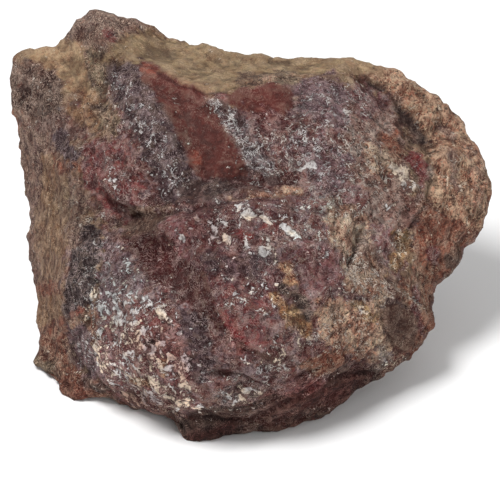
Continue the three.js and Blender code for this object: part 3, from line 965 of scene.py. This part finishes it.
def density(surface, patches, kind):
    """How dense flecks are: the patches and a sprinkling on the show side, clouds elsewhere."""
    sprinkled, elsewhere = SPRINKLED[kind]
    cloud = smoothstep(0, CLOUD_FULL, rough(surface.points, CLOUD_LENGTH, OCTAVES, CLOUD_SEED))
    cloud = np.maximum(cloud, VEIN_FLECKS * hidden_vein(surface.points))
    away = cloud * elsewhere * (1 - surface.shown)
    shown = np.maximum(strongest(surface, patches), sprinkled * surface.shown)
    return np.maximum(away, shown * (1 - CALM_BARE * calm))


def keep_colour(mesh, name, *columns):
    """Stores up to three numbers for each vertex under a name that the shader reads."""
    columns = np.column_stack(columns)
    layer = mesh.attributes.new(name, "FLOAT_COLOR", "POINT")
    rgba = np.ones((len(mesh.vertices), 4), dtype=np.float32)
    rgba[:, :columns.shape[1]] = columns
    layer.data.foreach_set("color", rgba.ravel())


# How hollow each point is: the shader paints shade into the hollows and a highlight onto the ridges from
# these
small_hollow = hollowness(stone.data, rounds=3, depth=0.1 * MM)
large_hollow = hollowness(stone.data, rounds=40, depth=0.8 * MM)
main_tone, mottling_tone, grain = paint_grounds(surface)
threads = density(surface, FILAMENTS, "threads")
splashes = density(surface, SPLASHES, "splashes")
specks = density(surface, SPECKS, "specks")
streaks = density(surface, STREAKED, "streaks")
keep_colour(stone.data, "tone", main_tone)
keep_colour(stone.data, "mottle", mottling_tone)
keep_colour(stone.data, "tint_and_painted_light", tint_and_painted_light(surface))
keep_colour(stone.data, "flecks", threads, splashes, specks)
keep_colour(stone.data, "streaks_and_hollow_shade", streaks, small_hollow, large_hollow)
keep_colour(stone.data, "grain", grain)

# ---------------------------------------------------------------- jasper material

# Noises of the material: longest wavelength, detail, roughness, distortion.
NOISES = {
    "clouds": (3.2 * MM, 7, 0.68, 0.8),
    "broad clouds": (6 * MM, 5, 0.65, 0.0),
    "stains": (4 * MM, 5, 0.6, 0.6),
    "blushes": (1.6 * MM, 4, 0.6, 1.0),
    "grains": (0.8 * MM, 3, 0.6, 0.5),
    "curl patches": (4.5 * MM, 5, 0.65, 0.0),
    "curls": (1.4 * MM, 3, 0.55, 2.0),
    "streaks": (1.0 * MM, 4, 0.7, 0.0),
    "threads": (2.4 * MM, 4, 0.6, 1.5),
    "clusters": (1.8 * MM, 3, 0.6, 0.0),
    "large blots": (2.8 * MM, 6, 0.6, 0.3),
    "small blots": (1.3 * MM, 4, 0.55, 0.5),
    "cream": (5 * MM, 3, 0.5, 0.0),
    "pits": (0.9 * MM, 2, 0.6, 0.5),
}
# Values of a noise at which a change begins and is full.
EDGES = {
    "clouds": (0.47, 0.55),
    "broad clouds": (0.45, 0.58),
    "stains": (0.5, 0.6),
    "blushes": (0.52, 0.6),
    "curl patches": (0.42, 0.58),
    "curls": (0.036, 0.014),
    "threads": (0.034, 0.014),
    "thread gap shade": (0.085, 0.04),
    "cream": (0.4, 0.6),
    "splash grains": (0.38, 0.55),
}
# Coats on the ground: the values of a noise or a hollow at which each begins and is full,
# and how fully it covers. Some are partly painted light: the dark specks of grain are partly
# painted shade in pits, the small hollows take grime and painted shade, the deep hollows
# painted shade only, and the ridges a pale film and a painted highlight.
COATS = {
    "bleached": (0.46, 0.36, 0.36),
    "curl gaps": (0.07, 0.15, 0.72),
    "dark grains and pit shade": (0.46, 0.34, 0.9),
    "dark lines": (0.48, 0.34, 0.6),
    "pale lines": (0.54, 0.68, 0.55),
    "dirt and hollow shade": (0.55, 0.95, 0.4),
    "dust and ridge highlight": (0.4, 0.1, 0.12),
    "painted shade in deep hollows": (0.6, 1.0, 0.25),
}
RIM_SHADE_COVER = 0.5
THREAD_COVER = 0.8
PIT_COVER = 0.8
# Values that a share of 0 and of 1 stands for.
RANGES = {
    "curl cover": (0.25, 0.95),
    "warm cream": (-0.1, 0.12),
    "splash cover": (0.5, 0.95),
    "roughness": (0.62, 0.9),
    "grain height": (0.2, 0.8),
}
# Noise levels above which flecks show: where they are sparse, where dense, and the edge.
THREAD_LEVELS = (0.68, 0.46, 0.04)
BLOT_LEVELS = ((0.74, 0.53, 0.05), (0.73, 0.55, 0.05))
RIM_SHADE_LEVELS = ((0.70, 0.50, 0.03), (0.69, 0.50, 0.03))
PIT_LEVELS = (0.8, 0.56, 0.04)
NOISE_MIDDLE = 0.5
CLOUD_HEIGHT = 1.5
CURL_HEIGHT = 0.25
RIM_DEPTH = 0.2
BUMP_DISTANCE = 0.5 * MM
SPECULAR = 0.1


class Nodes:
    """A short way to build a node tree."""

    def __init__(self, tree):
        self.tree = tree

    def add(self, kind, inputs=None, **settings):
        node = self.tree.nodes.new(kind)
        for name, value in settings.items():
            setattr(node, name, value)
        for key, value in (inputs or {}).items():
            self.feed(node.inputs[key], value)
        return node

    def feed(self, socket, value):
        if hasattr(value, "is_output"):
            self.tree.links.new(value, socket)
        else:
            socket.default_value = value

    def math(self, operation, first, second=0.0):
        return self.add("ShaderNodeMath", {0: first, 1: second}, operation=operation).outputs[0]

    def times(self, first, second):
        return self.math("MULTIPLY", first, second)

    def noise(self, place, name):
        length, detail, roughness, distortion = NOISES[name]
        inputs = {
            "Vector": place,
            "Scale": 1 / length,
            "Detail": detail,
            "Roughness": roughness,
            "Distortion": distortion,
        }
        return self.add("ShaderNodeTexNoise", inputs).outputs["Fac"]

    def ramp(self, value, low, high):
        """0 where the value is low, 1 where it is high, and a smooth change between."""
        inputs = {"Value": value, "From Min": low, "From Max": high}
        node = self.add("ShaderNodeMapRange", inputs, interpolation_type="SMOOTHSTEP")
        return node.outputs["Result"]

    def change(self, value, name):
        return self.ramp(value, *EDGES[name])

    def between(self, share, name):
        """A number that goes from the low to the high end of a range with a share."""
        low, high = RANGES[name]
        inputs = {"Value": share, "To Min": low, "To Max": high}
        return self.add("ShaderNodeMapRange", inputs).outputs["Result"]

    def mix(self, share, first, second, blend="MIX"):
        node = self.add("ShaderNodeMix", data_type="RGBA", blend_type=blend)
        self.feed(node.inputs[0], share)
        self.feed(node.inputs[6], first)
        self.feed(node.inputs[7], second)
        return node.outputs[2]

    def coat(self, ground, paint, value, name, limit=None):
        """The ground under a coat of paint, where the value lays it and the limit lets it."""
        low, high, cover = COATS[name]
        share = self.ramp(value, low, high)
        if limit is not None:
            share = self.times(share, limit)
        return self.mix(self.times(share, cover), ground, paint)

    def dye(self, ground, paint, share):
        """The ground multiplied by a colour where the share is 1."""
        return self.mix(share, ground, self.mix(1.0, ground, paint, "MULTIPLY"))

    def along(self, place, direction):
        inputs = {0: place, 1: tuple(direction)}
        return self.add("ShaderNodeVectorMath", inputs, operation="DOT_PRODUCT").outputs["Value"]

    def kept(self, name):
        """The colour that the mesh keeps under a name."""
        return self.add("ShaderNodeAttribute", attribute_name=name).outputs["Color"]

    def channels(self, name):
        """The three numbers of such a colour."""
        split = self.add("ShaderNodeSeparateColor", {0: self.kept(name)})
        return split.outputs[0], split.outputs[1], split.outputs[2]


def colour(rgb):
    return (*linear(rgb), 1)


FROST = colour((204, 200, 198))
CREAM = colour((220, 200, 178))
DARK = colour((40, 26, 25))
DUST_AND_RIDGE_HIGHLIGHT = colour((150, 128, 112))
COOL_PALE = colour((188, 166, 165))
WARM_PALE = colour((206, 178, 148))
STAIN = colour((192, 166, 164))
SHIFT = colour((198, 173, 169))
BLUSH = colour((246, 212, 206))
STREAK_LEAN = 0.25
STREAK_STRETCH = 7.0


def streak_place(nodes, place):
    """Coordinates squeezed along the streaks, which climb the stone and lean to the right."""
    along = UP + STREAK_LEAN * ACROSS
    along /= np.linalg.norm(along)
    beside = np.cross(along, TOWARDS)
    inputs = {
        0: nodes.along(place, along / STREAK_STRETCH),
        1: nodes.along(place, beside),
        2: nodes.along(place, TOWARDS),
    }
    return nodes.add("ShaderNodeCombineXYZ", inputs).outputs[0]


def over(nodes, level_noise, dense, levels):
    """1 where the noise is above a level that falls as the flecks get denser."""
    sparse_level, dense_level, edge = levels
    fall = nodes.times(dense, sparse_level - dense_level)
    level = nodes.math("SUBTRACT", sparse_level, fall)
    return nodes.ramp(nodes.math("SUBTRACT", level_noise, level), 0.0, edge)


def off_middle(nodes, noise):
    """How far a noise is from its middle value; near 0 it draws curled threads."""
    return nodes.math("ABSOLUTE", nodes.math("SUBTRACT", noise, NOISE_MIDDLE))


def filaments(nodes, place, dense):
    """Short curved threads of pale crystal in clusters, and the dark gaps beside them, partly painted shade.
    """
    course = off_middle(nodes, nodes.noise(place, "threads"))
    breaks = over(nodes, nodes.noise(place, "clusters"), dense, THREAD_LEVELS)
    thread = nodes.times(nodes.change(course, "threads"), breaks)
    gap = nodes.times(nodes.change(course, "thread gap shade"), breaks)
    return thread, gap


def splashes_and_rims(nodes, place, dense):
    """Ragged pale blots of two sizes, and the dark rims around them, partly painted shade."""
    sizes = [nodes.noise(place, name) for name in ("large blots", "small blots")]
    found = []
    for kind in (BLOT_LEVELS, RIM_SHADE_LEVELS):
        large, small = [over(nodes, noise, dense, levels) for noise, levels in zip(sizes, kind)]
        found.append(nodes.math("MAXIMUM", large, small))
    return found


def clouded(nodes, place, pale, grit):
    """The ground in two tones, with stains, bleached places and blushes; and its clouds."""
    clouds = nodes.noise(place, "clouds")
    ground = nodes.mix(nodes.change(clouds, "clouds"), nodes.kept("tone"), nodes.kept("mottle"))
    broad = nodes.change(nodes.noise(place, "broad clouds"), "broad clouds")
    ground = nodes.dye(ground, SHIFT, nodes.times(broad, grit))
    stains = nodes.noise(place, "stains")
    ground = nodes.dye(ground, STAIN, nodes.times(nodes.change(stains, "stains"), grit))
    ground = nodes.coat(ground, pale, stains, "bleached", grit)
    blushes = nodes.change(nodes.noise(place, "blushes"), "blushes")
    return nodes.dye(ground, BLUSH, nodes.times(blushes, grit)), clouds


def grained(nodes, place, ground, pale, grit, grains):
    """The ground with curled pale threads, dark gaps between them and dark grain partly painted as pit shade;
    the curls.
    """
    patchy = nodes.change(nodes.noise(place, "curl patches"), "curl patches")
    course = off_middle(nodes, nodes.noise(place, "curls"))
    ground = nodes.coat(ground, DARK, course, "curl gaps", grit)
    ground = nodes.coat(ground, DARK, grains, "dark grains and pit shade", grit)
    curl = nodes.times(nodes.change(course, "curls"), grit)
    curl = nodes.times(curl, nodes.between(patchy, "curl cover"))
    return nodes.mix(curl, ground, pale), curl


def flecked(nodes, place, ground, warmth, grains):
    """The ground with splashes, pale threads and black specks; and the dark rims, partly painted shade."""
    threads, splashes, specks = nodes.channels("flecks")
    thread, gap = filaments(nodes, place, threads)
    blot, rim = splashes_and_rims(nodes, place, splashes)
    rims = nodes.math("MAXIMUM", gap, rim)
    # dark rims and gaps, partly painted shade beside the blots and threads
    ground = nodes.mix(nodes.times(rims, RIM_SHADE_COVER), ground, DARK)
    creamy = nodes.math("ADD", nodes.noise(place, "cream"), nodes.between(warmth, "warm cream"))
    splash_colour = nodes.mix(nodes.change(creamy, "cream"), FROST, CREAM)
    grainy = nodes.between(nodes.change(grains, "splash grains"), "splash cover")
    ground = nodes.mix(nodes.times(blot, grainy), ground, splash_colour)
    thread_colour = nodes.mix(warmth, FROST, CREAM)
    ground = nodes.mix(nodes.times(thread, THREAD_COVER), ground, thread_colour)
    pit = over(nodes, nodes.noise(place, "pits"), specks, PIT_LEVELS)
    return nodes.mix(nodes.times(pit, PIT_COVER), ground, DARK), rims


def jasper_material():
    material = bpy.data.materials.new("jasper")
    material.use_nodes = True
    nodes = Nodes(material.node_tree)
    shader = material.node_tree.nodes["Principled BSDF"].inputs
    place = nodes.add("ShaderNodeTexCoord").outputs["Object"]
    streaked, small_hollow, large_hollow = nodes.channels("streaks_and_hollow_shade")
    grit, warmth = nodes.channels("grain")[:2]
    pale = nodes.mix(warmth, COOL_PALE, WARM_PALE)
    grains = nodes.noise(place, "grains")

    ground, clouds = clouded(nodes, place, pale, grit)
    ground, curl = grained(nodes, place, ground, pale, grit, grains)

    # streaks that run up the sides
    lines = nodes.noise(streak_place(nodes, place), "streaks")
    ground = nodes.coat(ground, DARK, lines, "dark lines", streaked)
    ground = nodes.coat(ground, pale, lines, "pale lines", streaked)

    ground, rims = flecked(nodes, place, ground, warmth, grains)

    # grime and painted shade in the small hollows, painted shade in the deep hollows,
    # and a pale film and a painted highlight on the ridges
    ground = nodes.coat(ground, DARK, small_hollow, "dirt and hollow shade")
    ground = nodes.coat(ground, DUST_AND_RIDGE_HIGHLIGHT, small_hollow, "dust and ridge highlight")
    ground = nodes.coat(ground, DARK, large_hollow, "painted shade in deep hollows")
    # the broad tints, partly painted light and shade, multiply the colour last
    nodes.feed(shader["Base Color"], nodes.mix(1.0, ground, nodes.kept("tint_and_painted_light"), "MULTIPLY"))

    shader["Specular IOR Level"].default_value = SPECULAR
    nodes.feed(shader["Roughness"], nodes.between(grains, "roughness"))
    height = nodes.times(grains, nodes.between(grit, "grain height"))
    height = nodes.math("ADD", height, nodes.times(clouds, CLOUD_HEIGHT))
    height = nodes.math("ADD", height, nodes.times(curl, CURL_HEIGHT))
    height = nodes.math("ADD", height, nodes.times(lines, streaked))
    height = nodes.math("SUBTRACT", height, nodes.times(rims, RIM_DEPTH))
    bump = nodes.add("ShaderNodeBump", {"Height": height, "Strength": 1.0, "Distance": BUMP_DISTANCE})
    nodes.feed(shader["Normal"], bump.outputs["Normal"])
    return material


stone.data.materials.append(jasper_material())
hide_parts("jasper_stone")
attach(stone, "root")

# ---------------------------------------------------------------- floor and light

FLOOR_SIZE = 3.0
PAPER = (0.85, 0.85, 0.85, 1)
PAPER_ROUGHNESS = 0.9
bpy.ops.mesh.primitive_plane_add(size=FLOOR_SIZE, location=(0, 0, 0))
floor = bpy.context.object
floor.name = "floor"
paper = bpy.data.materials.new("paper")
paper.use_nodes = True
paper_shader = paper.node_tree.nodes["Principled BSDF"]
paper_shader.inputs["Base Color"].default_value = PAPER
paper_shader.inputs["Roughness"].default_value = PAPER_ROUGHNESS
floor.data.materials.append(paper)

LIGHT_AIM = Vector((0, 0, 0.03))
# Round softboxes: name, place, size, power in watts.
SOFTBOXES = [
    ("key", (-0.25, -0.2, 0.8), 0.3, 7.2),
    ("fill", (0.5, -0.9, 0.6), 0.5, 2.4),
    ("back", (0.2, 0.9, 0.5), 0.6, 2.5),
]
WORLD_COLOUR = (1, 1, 1, 1)
WORLD_STRENGTH = 0.4


def add_softbox(name, place, size, power):
    light = bpy.data.objects.new(name, bpy.data.lights.new(name, "AREA"))
    light.data.shape = "DISK"
    light.data.size = size
    light.data.energy = power
    light.location = place
    aim = LIGHT_AIM - Vector(place)
    light.rotation_euler = aim.to_track_quat("-Z", "Y").to_euler()
    bpy.context.scene.collection.objects.link(light)


for softbox in SOFTBOXES:
    add_softbox(*softbox)
world = bpy.data.worlds.new("studio")
world.use_nodes = True
background = world.node_tree.nodes["Background"]
background.inputs["Color"].default_value = WORLD_COLOUR
background.inputs["Strength"].default_value = WORLD_STRENGTH
bpy.context.scene.world = world
bpy.context.scene.view_settings.view_transform = "Standard"
